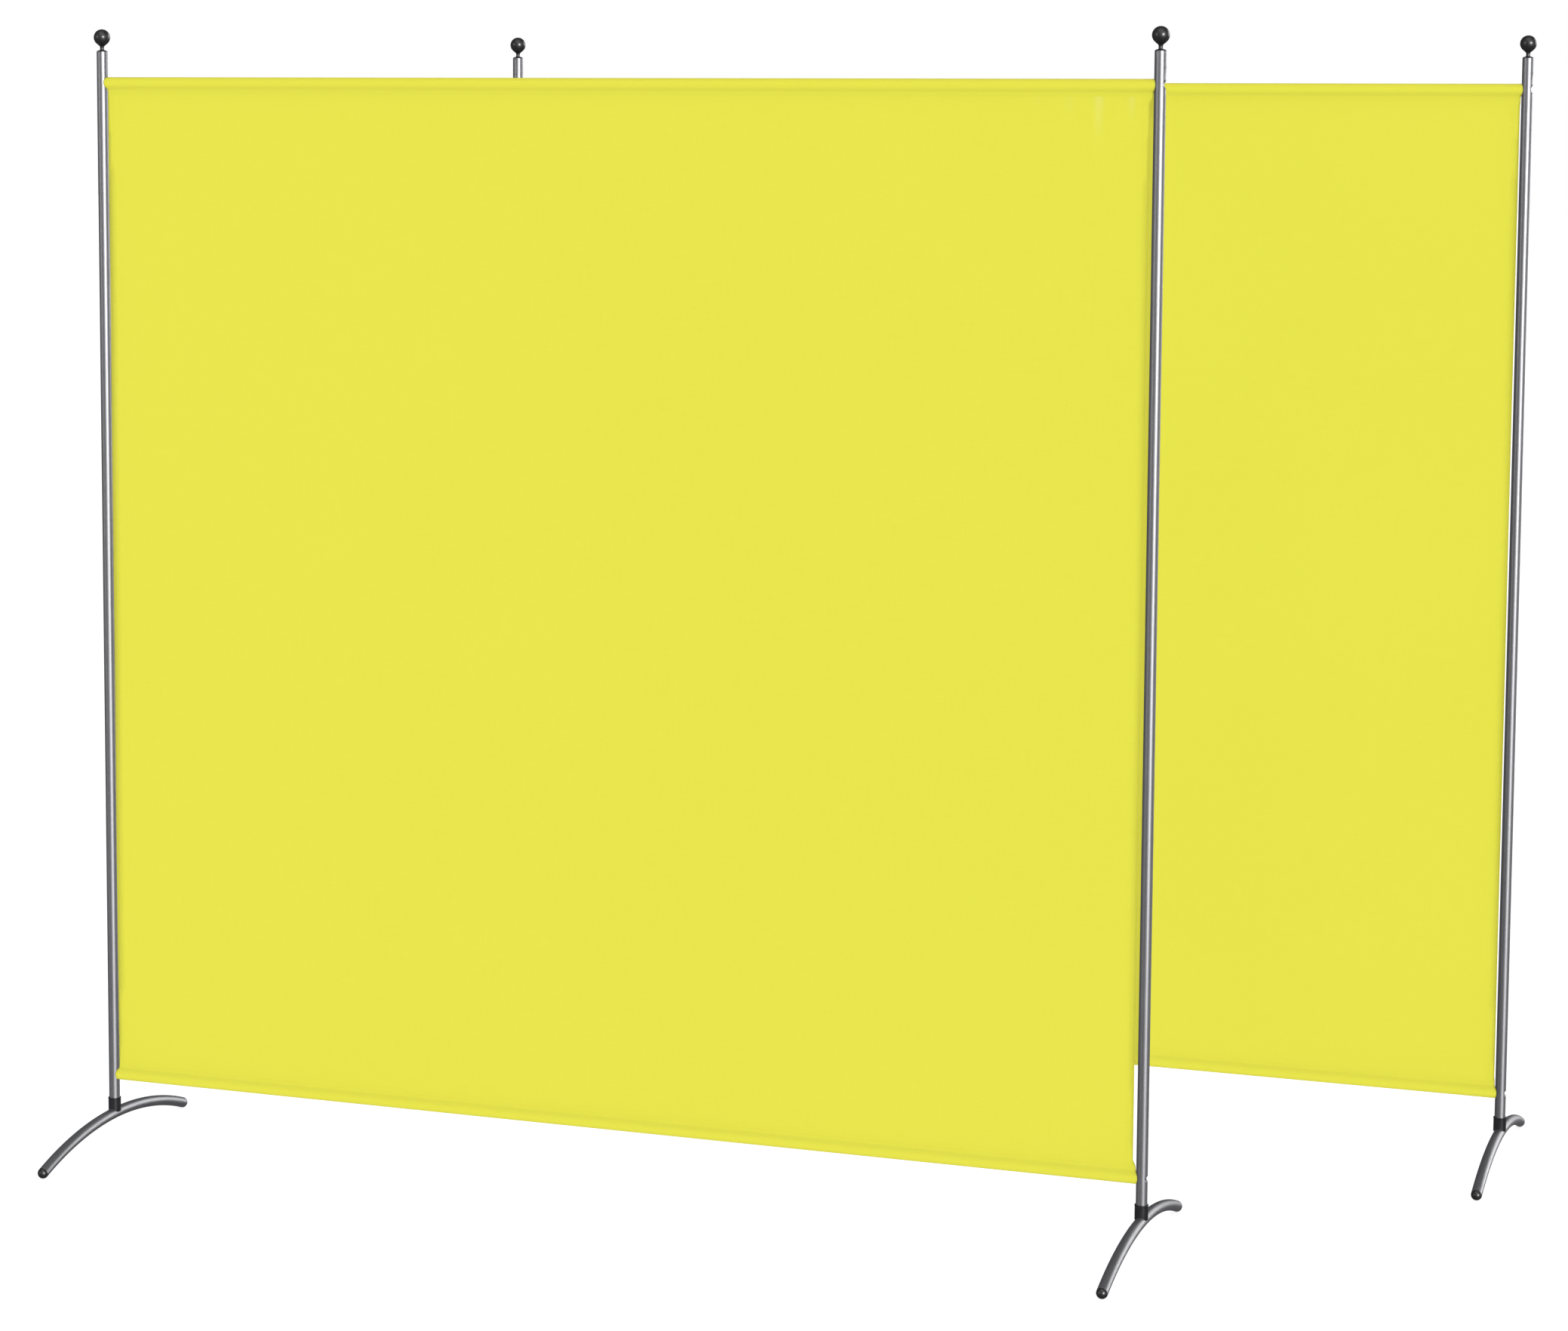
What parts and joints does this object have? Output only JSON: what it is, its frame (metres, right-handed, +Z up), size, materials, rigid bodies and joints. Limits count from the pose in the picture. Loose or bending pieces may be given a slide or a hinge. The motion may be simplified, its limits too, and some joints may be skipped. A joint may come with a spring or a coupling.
{
  "type": "free-standing fabric screen set",
  "caption": "Two matching free-standing screens of yellow fabric stretched on slim steel tube frames, with arched feet and black ball finials.",
  "frame": {"origin": "on the floor, under the middle of the pair of screens", "axes": "+X along the screens, +Y from the front screen to the rear one, +Z up"},
  "size_m": [2.1354, 1.151, 1.78],
  "materials": {
    "powder_coated_steel": "silver-grey metallic powder coat, fine texture, satin",
    "yellow_fabric": "opaque plain-woven polyester, faint sheen",
    "gloss_black_plastic": "moulded, glossy",
    "black_plastic": "moulded, satin with a fine grain",
    "plated_screws": "bright zinc plate"
  },
  "bodies": {
    "front_frame": {"front_top_rail": "powder_coated_steel", "front_bottom_rail": "powder_coated_steel", "front_fabric_panel": "yellow_fabric", "front_rail_screws": "plated_screws", "front_left_pole": "powder_coated_steel", "front_left_top_rail_plug": "black_plastic", "front_left_bottom_rail_plug": "black_plastic", "front_left_ball_finial": "gloss_black_plastic", "front_left_pole_top_plug": "black_plastic", "front_left_pole_bottom_insert": "black_plastic", "front_right_pole": "powder_coated_steel", "front_right_top_rail_plug": "black_plastic", "front_right_bottom_rail_plug": "black_plastic", "front_right_ball_finial": "gloss_black_plastic", "front_right_pole_top_plug": "black_plastic", "front_right_pole_bottom_insert": "black_plastic"},
    "front_left_foot": {"front_left_collar": "black_plastic", "front_left_foot": "powder_coated_steel", "front_left_foot_front_cap": "gloss_black_plastic", "front_left_foot_back_cap": "gloss_black_plastic", "front_left_foot_bolt": "plated_screws"},
    "front_right_foot": {"front_right_collar": "black_plastic", "front_right_foot": "powder_coated_steel", "front_right_foot_front_cap": "gloss_black_plastic", "front_right_foot_back_cap": "gloss_black_plastic", "front_right_foot_bolt": "plated_screws"},
    "rear_frame": {"rear_top_rail": "powder_coated_steel", "rear_bottom_rail": "powder_coated_steel", "rear_fabric_panel": "yellow_fabric", "rear_rail_screws": "plated_screws", "rear_left_pole": "powder_coated_steel", "rear_left_top_rail_plug": "black_plastic", "rear_left_bottom_rail_plug": "black_plastic", "rear_left_ball_finial": "gloss_black_plastic", "rear_left_pole_top_plug": "black_plastic", "rear_left_pole_bottom_insert": "black_plastic", "rear_right_pole": "powder_coated_steel", "rear_right_top_rail_plug": "black_plastic", "rear_right_bottom_rail_plug": "black_plastic", "rear_right_ball_finial": "gloss_black_plastic", "rear_right_pole_top_plug": "black_plastic", "rear_right_pole_bottom_insert": "black_plastic"},
    "rear_left_foot": {"rear_left_collar": "black_plastic", "rear_left_foot": "powder_coated_steel", "rear_left_foot_front_cap": "gloss_black_plastic", "rear_left_foot_back_cap": "gloss_black_plastic", "rear_left_foot_bolt": "plated_screws"},
    "rear_right_foot": {"rear_right_collar": "black_plastic", "rear_right_foot": "powder_coated_steel", "rear_right_foot_front_cap": "gloss_black_plastic", "rear_right_foot_back_cap": "gloss_black_plastic", "rear_right_foot_bolt": "plated_screws"}
  },
  "joints": [
    {"name": "rear_screen_shift", "type": "slide", "parent": "front_frame", "child": "rear_frame", "axis": [1, 0, 0], "range_m": [-0.417, 0.417]},
    {"name": "front_left_foot_swivel", "type": "hinge", "parent": "front_frame", "child": "front_left_foot", "pos_m": [-1.055, -0.3395, 0.06], "axis": [0, 0, 1], "range_deg": [-90, 90]},
    {"name": "front_right_foot_swivel", "type": "hinge", "parent": "front_frame", "child": "front_right_foot", "pos_m": [0.638, -0.3395, 0.06], "axis": [0, 0, 1], "range_deg": [-90, 90]},
    {"name": "rear_left_foot_swivel", "type": "hinge", "parent": "rear_frame", "child": "rear_left_foot", "pos_m": [-0.638, 0.3395, 0.06], "axis": [0, 0, 1], "range_deg": [-90, 90]},
    {"name": "rear_right_foot_swivel", "type": "hinge", "parent": "rear_frame", "child": "rear_right_foot", "pos_m": [1.055, 0.3395, 0.06], "axis": [0, 0, 1], "range_deg": [-90, 90]}
  ]
}
